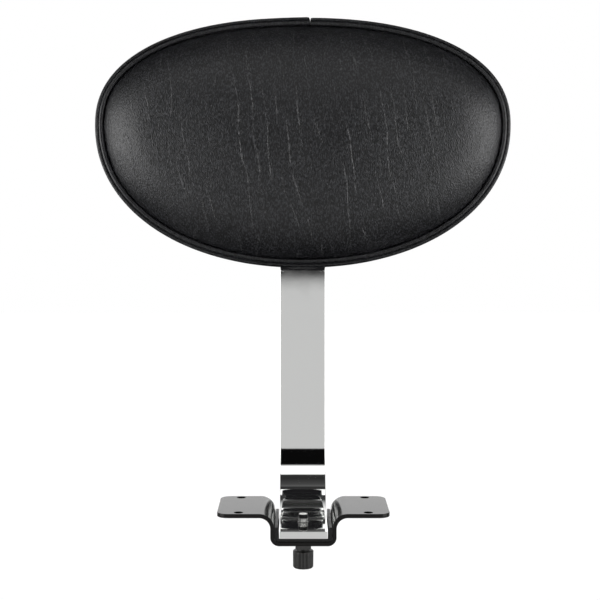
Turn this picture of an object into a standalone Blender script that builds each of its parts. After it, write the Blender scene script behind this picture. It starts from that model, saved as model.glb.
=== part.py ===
"""Clamp-on backrest of a drum throne.

A padded backrest on a chromed flat L-bar. The bar's short leg slides fore and aft
in a lined steel channel that bolts under the throne's seat, and a hand knob under
the channel pulls the bar down onto the liner.

Metres, +Z up, +X to the viewer's right, the padded front towards -Y.
The origin is midway between the bracket's two ears, on the plane of their top
faces, where the seat's base board lies.
"""
import math

import bmesh
import bpy
from mathutils import Matrix, Vector

GAP = 0.0003                    # clearance kept between touching pieces

# Chromed flat bar
BAR_WIDTH = 0.040
BAR_THICKNESS = 0.006
BAR_BEND_RADIUS = 0.0565        # inside of the bend
BAR_LEAN = math.radians(3.8)    # the upright leans back from the vertical
LEG_TOP = -0.0143               # top face of the leg
LEG_NEAR = -0.034               # flat leg runs from this y
LEG_BEND = 0.0275               # to this one, where the bend starts
BAR_TOP_ABOVE_PAD_ORIGIN = 0.030
BAR_TOP_CORNER_RADIUS = 0.008
LEG_CORNER_RADIUS = 0.0012
BAR_SLIDE = 0.012               # travel each way from the rest position

# Under-seat bracket, one bent steel strip
STEEL = 0.0034
EAR_SPAN = 0.140
BRACKET_DEPTH = 0.068
CHANNEL_WIDTH = 0.0534          # outside
CHANNEL_BOTTOM = -0.0263        # outside
EAR_BEND_RADIUS = 0.009         # concave side
FLOOR_BEND_RADIUS = 0.0036      # concave side
EAR_CORNER_RADIUS = 0.009
SEAT_HOLE_RADIUS = 0.0035
SEAT_HOLE_X = 0.0525
SEAT_HOLE_Y = 0.028

# Moulded channel liner
LINER_WALL = 0.0024
LINER_INSIDE = 0.0412
LINER_TOP = -0.011
LINER_DEPTH = 0.067
LINER_CORNER_RADIUS = 0.0008    # concave side

# Clamp: M8 screw, washers, nut and knob on one vertical axis through the origin
SCREW_RADIUS = 0.00395
SCREW_HOLE_RADIUS = 0.0043
SCREW_TIP = LEG_TOP + 0.0070
SLOT_RADIUS = 0.0045
NUT_FLATS = 0.013
NUT_HEIGHT = 0.0063
HEX_CHAMFER = 0.0007            # height turned off the nut's corners
HEX_WAIST = 1.02                # end face radius over half the flats
SCREW_POINT = 0.0006            # chamfer of the screw's tip
WASHER_RADIUS = 0.0085
WASHER_THICKNESS = 0.0016
LOCK_RADIUS = 0.0072
LOCK_THICKNESS = 0.0018
KNOB_RADIUS = 0.00855
KNOB_LENGTH = 0.0144
KNOB_FLUTES = 12
KNOB_FLUTE_DEPTH = 0.0005
KNOB_BOSS_RADIUS = 0.0052
KNOB_BOSS_HEIGHT = 0.001
KNOB_SOFTNESS = 0.0012          # rounding of the grip's ends
KNOB_SOCKET = 0.003             # solid plastic below the screw's end

# Pad outline: two superellipse halves that meet at the widest line
PAD_HALF_WIDTH = 0.1823
PAD_RISE = 0.0941
PAD_DROP = 0.1253
PAD_RISE_POWER = 2.27
PAD_DROP_POWER = 2.12
PAD_ORIGIN_HEIGHT = 0.3173      # world height of the widest line at the bar's face
OUTLINE_POINTS = 56

# Pad layers: distances in front of the bar's front face
PANEL_BACK = GAP
PANEL_FRONT = 0.0028
BAND_BACK = 0.0039
BAND_THICKNESS = 0.0011
BOARD_BACK = 0.0053
BOARD_FRONT = 0.0173
WELT_FORWARD = 0.0195
COVER_BACK = 0.0178
CROWN = 0.0520

# Pad layers: distances in from the outline
WELT_RADIUS = 0.0034
WELT_INSET = 0.0035
WELT_JOINT_X = 0.0066
WELT_JOINT_GAP = 0.0010
BAND_INSET = 0.0050
BAND_MARGIN_INSET = 0.0220
BOARD_INSET = 0.0065
BOARD_EDGE_EASE = 0.0048
BOARD_EASE_KNEE = 0.68          # middle point of the eased edge, as a share of its width
PANEL_INSET = 0.0130
COVER_INSET = 0.0073
COVER_THICKNESS = 0.0011
CUSHION_ROLL = 0.040            # width of the rounded edge
CUSHION_CROWN = 0.007           # extra rise from the rounded edge to the middle

# Pad fasteners, M6 from behind the bar into tee nuts
BOLT_HEIGHTS = {"upper": 0.012, "lower": -0.033}
BOLT_RADIUS = 0.00295
BOLT_HOLE_RADIUS = 0.0033
BOLT_FLATS = 0.010
BOLT_HEAD = 0.004
BOLT_END = 0.0165
BOLT_WASHER_RADIUS = 0.00625
BOLT_WASHER_THICKNESS = 0.0015
BOLT_LOCK_RADIUS = 0.0055
TEE_BARREL_RADIUS = 0.0039
TEE_BARREL_BACK = 0.0068
TEE_FLANGE_RADIUS = 0.0095
TEE_FLANGE_THICKNESS = 0.0014
PANEL_SCREW_TURNS = (20, 60, 120, 160, 230, 310)    # degrees round the outline
PANEL_SCREW_INSET = 0.030
PANEL_SCREW_RADIUS = 0.0013
PANEL_SCREW_HEAD = 0.0034
PANEL_SCREW_HEAD_HEIGHT = 0.0022
PANEL_SCREW_DEPTH = 0.0120


def clear_scene():
    for item in list(bpy.data.objects):
        bpy.data.objects.remove(item, do_unlink=True)


def material(name, colour, roughness, metallic=0.0):
    made = bpy.data.materials.new(name)
    made.use_nodes = True
    shader = made.node_tree.nodes["Principled BSDF"]
    shader.inputs["Base Color"].default_value = (*colour, 1.0)
    shader.inputs["Roughness"].default_value = roughness
    shader.inputs["Metallic"].default_value = metallic
    return made


def make_object(name, bm, finish, parent=None, location=(0.0, 0.0, 0.0)):
    """Close a bmesh into a named object with outward faces and smooth rounds."""
    bmesh.ops.recalc_face_normals(bm, faces=bm.faces)
    mesh = bpy.data.meshes.new(name)
    bm.to_mesh(mesh)
    bm.free()
    mesh.shade_smooth()
    mesh.set_sharp_from_angle(angle=math.radians(35))
    made = bpy.data.objects.new(name, mesh)
    bpy.context.collection.objects.link(made)
    made.location = location
    made.parent = parent
    if finish is not None:
        mesh.materials.append(finish)
    return made


def make_empty(name, location, tilt=0.0, parent=None):
    made = bpy.data.objects.new(name, None)
    bpy.context.collection.objects.link(made)
    made.location = location
    made.rotation_euler = (tilt, 0.0, 0.0)
    made.parent = parent
    return made


def cut(target, bm, name):
    """Subtract a cutter mesh from an object that shares the cutter's parent."""
    cutter = make_object(name, bm, None, target.parent, target.location)
    cutter.hide_render = True
    cutter.display_type = "WIRE"
    trim = target.modifiers.new(name, "BOOLEAN")
    trim.operation = "DIFFERENCE"
    trim.object = cutter


def loft(bm, rings, wrap=False):
    """Skin equal point loops; cap the first and last, or join last to first."""
    loops = [[bm.verts.new(point) for point in ring] for ring in rings]
    followers = loops[1:] + loops[:1] if wrap else loops[1:]
    for near, far in zip(loops, followers):
        for i in range(len(near)):
            j = (i + 1) % len(near)
            bm.faces.new((near[i], near[j], far[j], far[i]))
    if not wrap:
        bm.faces.new(reversed(loops[0]))
        bm.faces.new(loops[-1])


def circle(radius, level, sides, centre=(0.0, 0.0)):
    turn = 2 * math.pi / sides
    return [Vector((centre[0] + radius * math.cos(turn * i),
                    centre[1] + radius * math.sin(turn * i), level))
            for i in range(sides)]


def turned(bm, profile, sides=24, centre=(0.0, 0.0), wrap=False):
    """Lathe (radius, height) pairs about a vertical axis."""
    loft(bm, [circle(radius, level, sides, centre) for radius, level in profile], wrap)


def lay_back(bm, height=0.0, across=0.0):
    """Turn a piece made along +Z so that it points along -Y, at a height on the pad."""
    turn = Matrix.Rotation(math.radians(90), 4, "X")
    bmesh.ops.transform(bm, matrix=Matrix.Translation((across, 0.0, height)) @ turn, verts=bm.verts)


# ---------------------------------------------------------------- bent strips

def filleted(corners, radii, steps):
    """Points and unit tangents along a 2D path whose inner corners are arcs."""
    path = [(corners[0], (corners[1] - corners[0]).normalized())]
    for before, corner, after, radius in zip(corners, corners[1:], corners[2:], radii):
        into = (corner - before).normalized()
        out = (after - corner).normalized()
        side = 1.0 if into.cross(out) > 0 else -1.0
        bend = into.angle(out)
        start = corner - into * radius * math.tan(bend / 2)
        centre = start + Vector((-into.y, into.x)) * side * radius
        for i in range(steps + 1):
            turn = Matrix.Rotation(side * bend * i / steps, 2)
            path.append((centre + turn @ (start - centre), turn @ into))
    path.append((corners[-1], (corners[-1] - corners[-2]).normalized()))
    return path


def strip_section(path, thickness):
    """Closed 2D outline of a strip of one thickness about a path."""
    offsets = [Vector((-tangent.y, tangent.x)) * thickness / 2 for _, tangent in path]
    left = [point + offset for (point, _), offset in zip(path, offsets)]
    right = [point - offset for (point, _), offset in zip(path, offsets)]
    return left + right[::-1]


def round_corners(bm, radius, thickness, is_corner, segments=5):
    """Round the short edges across a strip's thickness at its free corners."""
    edges = [edge for edge in bm.edges
             if edge.calc_length() < thickness + GAP and all(is_corner(vert.co) for vert in edge.verts)]
    bmesh.ops.bevel(bm, geom=edges, offset=radius, segments=segments, profile=0.5,
                    affect="EDGES", clamp_overlap=False)


def slot_ring(radius, half_run, level, sides=16):
    """Loop of a slot that runs along Y."""
    quarter = [math.pi * i / (sides // 2) for i in range(sides // 2 + 1)]
    back = [Vector((radius * math.cos(a), half_run + radius * math.sin(a), level)) for a in quarter]
    return back + [Vector((-point.x, -point.y, level)) for point in back]


# ------------------------------------------------------------- bracket, liner

def channel_floor_cutter(radius):
    bm = bmesh.new()
    reach = 0.003
    loft(bm, [slot_ring(radius, BAR_SLIDE + GAP, level)
              for level in (CHANNEL_BOTTOM - reach, CHANNEL_BOTTOM + STEEL + 2 * reach)])
    return bm


def build_bracket(finish):
    ear = EAR_SPAN / 2
    wall = (CHANNEL_WIDTH - STEEL) / 2
    top = -STEEL / 2
    floor = CHANNEL_BOTTOM + STEEL / 2
    corners = [Vector(pair) for pair in (
        (-ear, top), (-wall, top), (-wall, floor), (wall, floor), (wall, top), (ear, top))]
    ear_bend = EAR_BEND_RADIUS + STEEL / 2
    floor_bend = FLOOR_BEND_RADIUS + STEEL / 2
    path = filleted(corners, (ear_bend, floor_bend, floor_bend, ear_bend), steps=7)
    section = strip_section(path, STEEL)
    half = BRACKET_DEPTH / 2
    bm = bmesh.new()
    loft(bm, [[Vector((p.x, y, p.y)) for p in section] for y in (-half, half)])
    round_corners(bm, EAR_CORNER_RADIUS, STEEL, lambda co: abs(co.x) > ear - GAP)
    bracket = make_object("mounting_bracket", bm, finish)

    cut(bracket, channel_floor_cutter(SLOT_RADIUS), "bracket_slot_cutter")
    holes = bmesh.new()
    for x in (-SEAT_HOLE_X, SEAT_HOLE_X):
        for y in (-SEAT_HOLE_Y, SEAT_HOLE_Y):
            turned(holes, [(SEAT_HOLE_RADIUS, -2 * STEEL), (SEAT_HOLE_RADIUS, STEEL)], 16, centre=(x, y))
    cut(bracket, holes, "seat_hole_cutter")
    return bracket


def build_liner(finish):
    """U-shaped liner: its floor is thinner than its walls, so each side has its own path."""
    inner = LINER_INSIDE / 2
    outer = inner + LINER_WALL
    floor_top = LEG_TOP - BAR_THICKNESS - GAP
    floor_bottom = CHANNEL_BOTTOM + STEEL + GAP
    corner = LINER_CORNER_RADIUS + LINER_WALL
    outside = filleted([Vector(pair) for pair in (
        (-outer, LINER_TOP), (-outer, floor_bottom), (outer, floor_bottom), (outer, LINER_TOP))],
        (corner, corner), steps=5)
    inside = filleted([Vector(pair) for pair in (
        (inner, LINER_TOP), (inner, floor_top), (-inner, floor_top), (-inner, LINER_TOP))],
        (LINER_CORNER_RADIUS, LINER_CORNER_RADIUS), steps=5)
    half = LINER_DEPTH / 2
    bm = bmesh.new()
    loft(bm, [[Vector((p.x, y, p.y)) for p, _ in outside + inside] for y in (-half, half)])
    liner = make_object("channel_liner", bm, finish)
    cut(liner, channel_floor_cutter(SLOT_RADIUS), "liner_slot_cutter")
    return liner


# -------------------------------------------------------------------- the bar

def upright_point(height, forward=0.0):
    """Point on the upright's front face at a world height, moved forward square to it."""
    bend_end = BAR_BEND_RADIUS * (1 - math.sin(BAR_LEAN))
    y = LEG_BEND + BAR_BEND_RADIUS * math.cos(BAR_LEAN)
    y += (height - LEG_TOP - bend_end) * math.tan(BAR_LEAN)
    return Vector((0.0, y - forward * math.cos(BAR_LEAN), height + forward * math.sin(BAR_LEAN)))


def build_bar(finish, pad_origin):
    middle = LEG_TOP - BAR_THICKNESS / 2
    bend = math.pi / 2 - BAR_LEAN
    bend_radius = BAR_BEND_RADIUS + BAR_THICKNESS / 2
    upward = Vector((math.cos(bend), math.sin(bend)))
    corner = Vector((LEG_BEND + bend_radius * math.tan(bend / 2), middle))
    face = Vector((pad_origin.y, pad_origin.z))
    back = Vector((upward.y, -upward.x)) * BAR_THICKNESS / 2
    top = face + back + upward * BAR_TOP_ABOVE_PAD_ORIGIN
    path = filleted([Vector((LEG_NEAR, middle)), corner, top], (bend_radius,), steps=20)
    section = strip_section(path, BAR_THICKNESS)
    half = BAR_WIDTH / 2
    bm = bmesh.new()
    loft(bm, [[Vector((x, p.x, p.y)) for p in section] for x in (-half, half)])
    round_corners(bm, BAR_TOP_CORNER_RADIUS, BAR_THICKNESS, lambda co: co.z > top.y - BAR_THICKNESS)
    round_corners(bm, LEG_CORNER_RADIUS, BAR_THICKNESS, lambda co: co.y < LEG_NEAR + GAP, 2)
    bar = make_object("l_bar", bm, finish)

    clamp = bmesh.new()
    turned(clamp, [(SCREW_HOLE_RADIUS, middle - BAR_THICKNESS), (SCREW_HOLE_RADIUS, middle + BAR_THICKNESS)])
    cut(bar, clamp, "clamp_hole_cutter")
    bolts = bmesh.new()
    for height in BOLT_HEIGHTS.values():
        hole = bmesh.new()
        turned(hole, [(BOLT_HOLE_RADIUS, -2 * BAR_THICKNESS), (BOLT_HOLE_RADIUS, BAR_THICKNESS)], 16)
        lay_back(hole, height)
        place = Matrix.Translation(pad_origin) @ Matrix.Rotation(-BAR_LEAN, 4, "X")
        bmesh.ops.transform(hole, matrix=place, verts=hole.verts)
        drill = bpy.data.meshes.new("drill")
        hole.to_mesh(drill)
        hole.free()
        bolts.from_mesh(drill)
        bpy.data.meshes.remove(drill)
    cut(bar, bolts, "bolt_hole_cutter")
    return bar


# ------------------------------------------------------------------ the clamp

def ring_profile(inner, outer, low, high):
    return [(inner, low), (outer, low), (outer, high), (inner, high)]


def split_washer(bm, inner, outer, low, high, sides=20):
    """Spring washer: a square ring with a narrow split."""
    turn = math.radians(348) / sides
    section = ring_profile(inner, outer, low, high)
    loft(bm, [[Vector((r * math.cos(turn * i), r * math.sin(turn * i), z)) for r, z in section]
              for i in range(sides + 1)])


def hex_ring(bm, flats, hole, low, high):
    """Hexagon nut with chamfered corners, its bore on the axis."""
    corner = flats / math.sqrt(3)
    sides = 24

    def loop(level, reach):
        ring = []
        for i in range(sides):
            angle = 2 * math.pi * i / sides
            off_flat = (angle + math.pi / 6) % (math.pi / 3) - math.pi / 6
            radius = min(flats / 2 / math.cos(off_flat), reach)
            ring.append(Vector((radius * math.cos(angle), radius * math.sin(angle), level)))
        return ring

    waist = flats / 2 * HEX_WAIST
    loft(bm, [circle(hole, low, sides), loop(low, waist), loop(low + HEX_CHAMFER, corner),
              loop(high - HEX_CHAMFER, corner), loop(high, waist), circle(hole, high, sides)], wrap=True)


def knob_ring(radius, level, depth, sides=48):
    """Loop of the fluted grip: shallow rounded flutes between ribs."""
    ring = []
    for i in range(sides):
        angle = 2 * math.pi * i / sides
        flute = depth * (0.5 - 0.5 * math.cos(KNOB_FLUTES * angle))
        ring.append(Vector(((radius - flute) * math.cos(angle), (radius - flute) * math.sin(angle), level)))
    return ring


def build_clamp(finishes, travel, spin):
    """Washers ride on the travelling empty; screw, nut and knob turn with it."""
    washer_top = CHANNEL_BOTTOM - GAP
    washer_bottom = washer_top - WASHER_THICKNESS
    flat = bmesh.new()
    turned(flat, ring_profile(SCREW_HOLE_RADIUS, WASHER_RADIUS, washer_bottom, washer_top), wrap=True)
    make_object("clamp_flat_washer", flat, finishes["zinc"], travel)

    lock_top = washer_bottom - GAP
    lock_bottom = lock_top - LOCK_THICKNESS
    lock = bmesh.new()
    split_washer(lock, SCREW_HOLE_RADIUS, LOCK_RADIUS, lock_bottom, lock_top)
    make_object("clamp_lock_washer", lock, finishes["zinc"], travel)

    nut_top = lock_bottom - GAP
    nut_bottom = nut_top - NUT_HEIGHT
    nut = bmesh.new()
    hex_ring(nut, NUT_FLATS, SCREW_HOLE_RADIUS, nut_bottom, nut_top)
    make_object("jam_nut", nut, finishes["black_steel"], spin)

    boss_top = nut_bottom - GAP
    rim = boss_top - KNOB_BOSS_HEIGHT
    bottom = rim - KNOB_LENGTH
    socket = bottom + KNOB_SOCKET
    soft = KNOB_SOFTNESS
    knob = bmesh.new()
    loft(knob, [
        circle(SCREW_HOLE_RADIUS, socket, 48), circle(SCREW_HOLE_RADIUS, boss_top, 48),
        circle(KNOB_BOSS_RADIUS, boss_top, 48), circle(KNOB_BOSS_RADIUS, rim, 48),
        knob_ring(KNOB_RADIUS - soft / 2, rim, 0.0), knob_ring(KNOB_RADIUS, rim - soft / 2, KNOB_FLUTE_DEPTH),
        knob_ring(KNOB_RADIUS, bottom + soft, KNOB_FLUTE_DEPTH),
        knob_ring(KNOB_RADIUS - 0.3 * soft, bottom + 0.3 * soft, 0.0),
        knob_ring(KNOB_RADIUS - soft, bottom, 0.0)])
    make_object("clamp_knob", knob, finishes["knob"], spin)

    screw = bmesh.new()
    turned(screw, [(SCREW_RADIUS, socket + GAP), (SCREW_RADIUS, SCREW_TIP - SCREW_POINT),
                   (SCREW_RADIUS - SCREW_POINT, SCREW_TIP)], 20)
    make_object("clamp_screw", screw, finishes["zinc"], spin)


# -------------------------------------------------------------------- the pad

def outline_point(turn, inset, forward):
    """Point at an angle round the pad outline, moved in from it and forward of the bar."""
    rising = math.sin(turn) >= 0
    power = 2 / (PAD_RISE_POWER if rising else PAD_DROP_POWER)
    reach = (PAD_RISE if rising else PAD_DROP) - inset
    across = math.copysign(abs(math.cos(turn)) ** power, math.cos(turn))
    along = math.copysign(abs(math.sin(turn)) ** power, math.sin(turn))
    return Vector(((PAD_HALF_WIDTH - inset) * across, -forward, reach * along))


def outline_ring(inset, forward, shrink=1.0):
    turns = [2 * math.pi * i / OUTLINE_POINTS for i in range(OUTLINE_POINTS)]
    points = [outline_point(turn, inset, forward) for turn in turns]
    return [Vector((p.x * shrink, p.y, p.z * shrink)) for p in points]


def cushion_rings(skin, steps=6):
    """Loops of the crowned front from its rim to the middle, a skin's depth below its surface."""
    middle = COVER_INSET + CUSHION_ROLL
    shoulder = CROWN - CUSHION_CROWN - COVER_BACK
    rings = []
    for i in range(steps + 1):
        roll = math.pi / 2 * i / steps
        inset = middle - (CUSHION_ROLL - skin) * math.cos(roll)
        rings.append(outline_ring(inset, COVER_BACK + (shoulder - skin) * math.sin(roll)))
    for shrink, rise in ((0.62, 0.62), (0.28, 0.92)):
        rings.append(outline_ring(middle, COVER_BACK + shoulder - skin + rise * CUSHION_CROWN, shrink))
    return rings


def build_cushion(finishes, pad):
    inner = cushion_rings(COVER_THICKNESS)
    cover = bmesh.new()
    loft(cover, cushion_rings(0.0)[::-1] + inner)
    make_object("front_cover", cover, finishes["vinyl"], pad)

    foam = bmesh.new()
    loft(foam, cushion_rings(COVER_THICKNESS + GAP))
    make_object("foam_cushion", foam, finishes["foam"], pad)


def build_welt(finish, pad):
    """Round piping outside the seam, its two ends butted at the top of the pad."""
    half_width = PAD_HALF_WIDTH - WELT_INSET

    def turn_at(x):
        return math.acos((x / half_width) ** (PAD_RISE_POWER / 2))

    first = turn_at(WELT_JOINT_X - WELT_JOINT_GAP / 2)
    last = turn_at(WELT_JOINT_X + WELT_JOINT_GAP / 2) + 2 * math.pi
    grid = [2 * math.pi * i / OUTLINE_POINTS for i in range(2 * OUTLINE_POINTS)]
    clear = math.radians(2)
    turns = [first] + [turn for turn in grid if first + clear < turn < last - clear] + [last]
    sides = 10
    section = [(WELT_INSET + WELT_RADIUS * math.cos(2 * math.pi * i / sides),
                WELT_FORWARD + WELT_RADIUS * math.sin(2 * math.pi * i / sides)) for i in range(sides)]
    bm = bmesh.new()
    loft(bm, [[outline_point(turn, inset, forward) for inset, forward in section] for turn in turns])
    make_object("welt_piping", bm, finish, pad)


def build_band(finish, pad):
    """Vinyl side band that wraps the board's edge and turns in over its back."""
    front = WELT_FORWARD - WELT_RADIUS - GAP
    turn_in = BAND_BACK + BOARD_EDGE_EASE + BAND_THICKNESS
    outer = [(BAND_INSET, front), (BAND_INSET, turn_in)]
    inner = [(BAND_INSET + BAND_THICKNESS, front), (BAND_INSET + BAND_THICKNESS, turn_in)]
    for degrees in (30, 60, 90):
        roll = math.radians(degrees)
        across, deep = 1 - math.cos(roll), math.sin(roll)
        radius = BOARD_EDGE_EASE + BAND_THICKNESS
        outer.append((BAND_INSET + radius * across, turn_in - radius * deep))
        radius = BOARD_EDGE_EASE
        inner.append((BAND_INSET + BAND_THICKNESS + radius * across, turn_in - radius * deep))
    margin = [(BAND_MARGIN_INSET, BAND_BACK), (BAND_MARGIN_INSET, BAND_BACK + BAND_THICKNESS)]
    bm = bmesh.new()
    loft(bm, [outline_ring(inset, forward) for inset, forward in outer + margin + inner[::-1]], wrap=True)
    make_object("side_band", bm, finish, pad)


def panel_screw_places():
    turns = [math.radians(turn) for turn in PANEL_SCREW_TURNS]
    return [outline_point(turn, PANEL_SCREW_INSET, 0.0) for turn in turns]


def drill_plate(plate, name, bolt_profile, screw_radius, deepest):
    """Cut the two bolt holes and the six panel screw holes through a pad plate."""
    cutter = bmesh.new()
    for height in BOLT_HEIGHTS.values():
        turned(cutter, bolt_profile, 20, centre=(0.0, height))
    for place in panel_screw_places():
        turned(cutter, [(screw_radius, -0.002), (screw_radius, deepest)], 10, centre=(place.x, place.z))
    lay_back(cutter)
    cut(plate, cutter, name)


def build_plates(finishes, pad):
    board = bmesh.new()
    eased = BOARD_BACK + BOARD_EDGE_EASE
    loft(board, [outline_ring(BOARD_INSET, BOARD_FRONT), outline_ring(BOARD_INSET, eased),
                 outline_ring(BOARD_INSET + (1 - BOARD_EASE_KNEE) * BOARD_EDGE_EASE,
                              eased - BOARD_EASE_KNEE * BOARD_EDGE_EASE),
                 outline_ring(BOARD_INSET + BOARD_EDGE_EASE, BOARD_BACK)])
    board = make_object("back_board", board, finishes["plywood"], pad)
    barrel = TEE_BARREL_RADIUS + GAP
    flange = TEE_FLANGE_RADIUS + GAP
    seat = BOARD_FRONT - TEE_FLANGE_THICKNESS - GAP
    bolt_profile = [(barrel, -0.002), (barrel, seat), (flange, seat), (flange, BOARD_FRONT + 0.002)]
    drill_plate(board, "board_drill", bolt_profile, PANEL_SCREW_RADIUS + GAP, PANEL_SCREW_DEPTH + 0.001)

    panel = bmesh.new()
    loft(panel, [outline_ring(PANEL_INSET, PANEL_FRONT), outline_ring(PANEL_INSET, PANEL_BACK + 0.001),
                 outline_ring(PANEL_INSET + 0.001, PANEL_BACK)])
    panel = make_object("back_panel", panel, finishes["panel"], pad)
    bolt_profile = [(BOLT_HOLE_RADIUS, -0.002), (BOLT_HOLE_RADIUS, 2 * PANEL_FRONT)]
    drill_plate(panel, "panel_drill", bolt_profile, PANEL_SCREW_RADIUS + GAP, 2 * PANEL_FRONT)


def build_pad_bolt(place, height, finishes, pad):
    """Hex bolt, lock washer and flat washer behind the bar, tee nut in the board."""
    washer = -BAR_THICKNESS - GAP
    lock = washer - BOLT_WASHER_THICKNESS - GAP
    head = lock - BOLT_WASHER_THICKNESS - GAP
    flange = BOARD_FRONT - GAP / 3

    bolt = bmesh.new()
    chamfer = 0.0005
    hexagon = BOLT_FLATS / math.sqrt(3)
    turned(bolt, [(hexagon - chamfer, head - BOLT_HEAD), (hexagon, head - BOLT_HEAD + chamfer),
                  (hexagon, head)], 6)
    shank = bmesh.new()
    turned(shank, [(BOLT_RADIUS, head), (BOLT_RADIUS, BOLT_END - chamfer),
                   (BOLT_RADIUS - chamfer, BOLT_END)], 16)
    lay_back(bolt, height)
    lay_back(shank, height)
    stem = make_object("pad_bolt_" + place + "_shank", shank, finishes["zinc"], pad)
    stem.hide_render = True
    stem.display_type = "WIRE"
    bolt = make_object("pad_bolt_" + place, bolt, finishes["zinc"], pad)
    union = bolt.modifiers.new("shank", "BOOLEAN")
    union.operation = "UNION"
    union.object = stem

    flat = bmesh.new()
    turned(flat, ring_profile(BOLT_HOLE_RADIUS, BOLT_WASHER_RADIUS, lock + GAP, washer), 20, wrap=True)
    lay_back(flat, height)
    make_object("pad_flat_washer_" + place, flat, finishes["zinc"], pad)

    spring = bmesh.new()
    split_washer(spring, BOLT_HOLE_RADIUS, BOLT_LOCK_RADIUS, head + GAP, lock, 16)
    lay_back(spring, height)
    make_object("pad_lock_washer_" + place, spring, finishes["zinc"], pad)

    tee = bmesh.new()
    bore = BOLT_RADIUS + GAP
    turned(tee, [(bore, TEE_BARREL_BACK), (TEE_BARREL_RADIUS, TEE_BARREL_BACK),
                 (TEE_BARREL_RADIUS, flange - TEE_FLANGE_THICKNESS),
                 (TEE_FLANGE_RADIUS, flange - TEE_FLANGE_THICKNESS),
                 (TEE_FLANGE_RADIUS, flange), (bore, flange)], 20, wrap=True)
    lay_back(tee, height)
    make_object("tee_nut_" + place, tee, finishes["zinc"], pad)


def build_panel_screws(finish, pad):
    rear = PANEL_SCREW_HEAD_HEIGHT
    for number, place in enumerate(panel_screw_places(), start=1):
        screw = bmesh.new()
        turned(screw, [(0.4 * PANEL_SCREW_HEAD, -rear), (0.8 * PANEL_SCREW_HEAD, -0.75 * rear),
                       (PANEL_SCREW_HEAD, -0.3 * rear), (PANEL_SCREW_HEAD, 0.0),
                       (PANEL_SCREW_RADIUS, 0.0), (PANEL_SCREW_RADIUS, PANEL_SCREW_DEPTH - 0.002),
                       (0.3 * PANEL_SCREW_RADIUS, PANEL_SCREW_DEPTH)], 12)
        lay_back(screw, place.z, place.x)
        make_object(f"back_panel_screw_{number}", screw, finish, pad)


def build():
    clear_scene()
    finishes = {
        "chrome": material("chrome", (0.80, 0.80, 0.80), 0.05, 1.0),
        "bracket": material("gloss_black_enamel", (0.02, 0.02, 0.022), 0.15),
        "liner": material("black_nylon", (0.025, 0.025, 0.027), 0.45),
        "zinc": material("zinc_plated_steel", (0.62, 0.62, 0.60), 0.3, 1.0),
        "black_steel": material("black_oxide_steel", (0.04, 0.04, 0.04), 0.35, 1.0),
        "knob": material("black_moulded_plastic", (0.03, 0.03, 0.03), 0.5),
        "vinyl": material("black_grained_vinyl", (0.03, 0.03, 0.033), 0.42),
        "foam": material("foam", (0.75, 0.72, 0.60), 0.9),
        "plywood": material("plywood", (0.55, 0.40, 0.25), 0.7),
        "panel": material("textured_black_plastic", (0.03, 0.03, 0.03), 0.6),
    }
    pad_origin = upright_point(PAD_ORIGIN_HEIGHT)
    carriage = make_empty("bar_slide_axis", (0.0, 0.0, 0.0))
    travel = make_empty("screw_travel_axis", (0.0, 0.0, 0.0), parent=carriage)
    spin = make_empty("knob_turn_axis", (0.0, 0.0, 0.0), parent=travel)
    pad = make_empty("pad_frame", pad_origin, -BAR_LEAN, carriage)

    build_bracket(finishes["bracket"])
    build_liner(finishes["liner"])
    build_bar(finishes["chrome"], pad_origin).parent = carriage
    build_clamp(finishes, travel, spin)
    build_cushion(finishes, pad)
    build_welt(finishes["vinyl"], pad)
    build_band(finishes["vinyl"], pad)
    build_plates(finishes, pad)
    for place, height in BOLT_HEIGHTS.items():
        build_pad_bolt(place, height, finishes, pad)
    build_panel_screws(finishes["black_steel"], pad)


build()
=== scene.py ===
"""Looks of a clamp-on throne backrest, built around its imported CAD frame.

Metres, +Z up, the padded front towards -Y. Pieces of the pad are made in the pad's own
frame, whose origin is on the bar's front face at the pad's widest line, and which leans
back with the bar. Points there are (across, -forward, up).
"""

from math import acos, atan2, copysign, cos, exp, hypot, pi, radians, sin, sqrt, tan

import bmesh
import bpy
import numpy as np
from mathutils import Matrix, Vector, noise


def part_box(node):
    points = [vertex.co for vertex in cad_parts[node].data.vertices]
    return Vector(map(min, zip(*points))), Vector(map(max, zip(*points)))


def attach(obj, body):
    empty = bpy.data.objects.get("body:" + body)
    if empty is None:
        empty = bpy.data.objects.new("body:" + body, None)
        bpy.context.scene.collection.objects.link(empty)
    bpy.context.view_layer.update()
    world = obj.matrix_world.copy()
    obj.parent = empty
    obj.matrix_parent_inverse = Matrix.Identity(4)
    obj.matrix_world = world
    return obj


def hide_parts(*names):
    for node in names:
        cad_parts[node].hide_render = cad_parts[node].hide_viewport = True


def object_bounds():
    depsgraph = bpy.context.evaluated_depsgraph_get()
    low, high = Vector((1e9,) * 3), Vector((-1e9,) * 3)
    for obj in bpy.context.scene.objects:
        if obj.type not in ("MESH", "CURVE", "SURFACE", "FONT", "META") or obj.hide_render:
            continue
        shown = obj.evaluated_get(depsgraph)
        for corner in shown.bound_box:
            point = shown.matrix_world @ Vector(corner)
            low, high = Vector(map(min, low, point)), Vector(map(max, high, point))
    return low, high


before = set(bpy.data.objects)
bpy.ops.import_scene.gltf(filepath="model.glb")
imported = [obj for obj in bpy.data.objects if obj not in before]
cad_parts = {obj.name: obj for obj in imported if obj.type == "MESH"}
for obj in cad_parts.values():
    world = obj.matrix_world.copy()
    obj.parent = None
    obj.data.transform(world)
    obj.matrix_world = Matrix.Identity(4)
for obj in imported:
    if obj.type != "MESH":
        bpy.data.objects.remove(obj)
CAD_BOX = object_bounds()
MM = 0.001
HERE = Matrix.Identity(4)

# ---- sizes from the frame

LEAN = radians(3.8)  # the bar's upright leans back
TO_LEAN = Matrix.Rotation(-LEAN, 4, "X")


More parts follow.
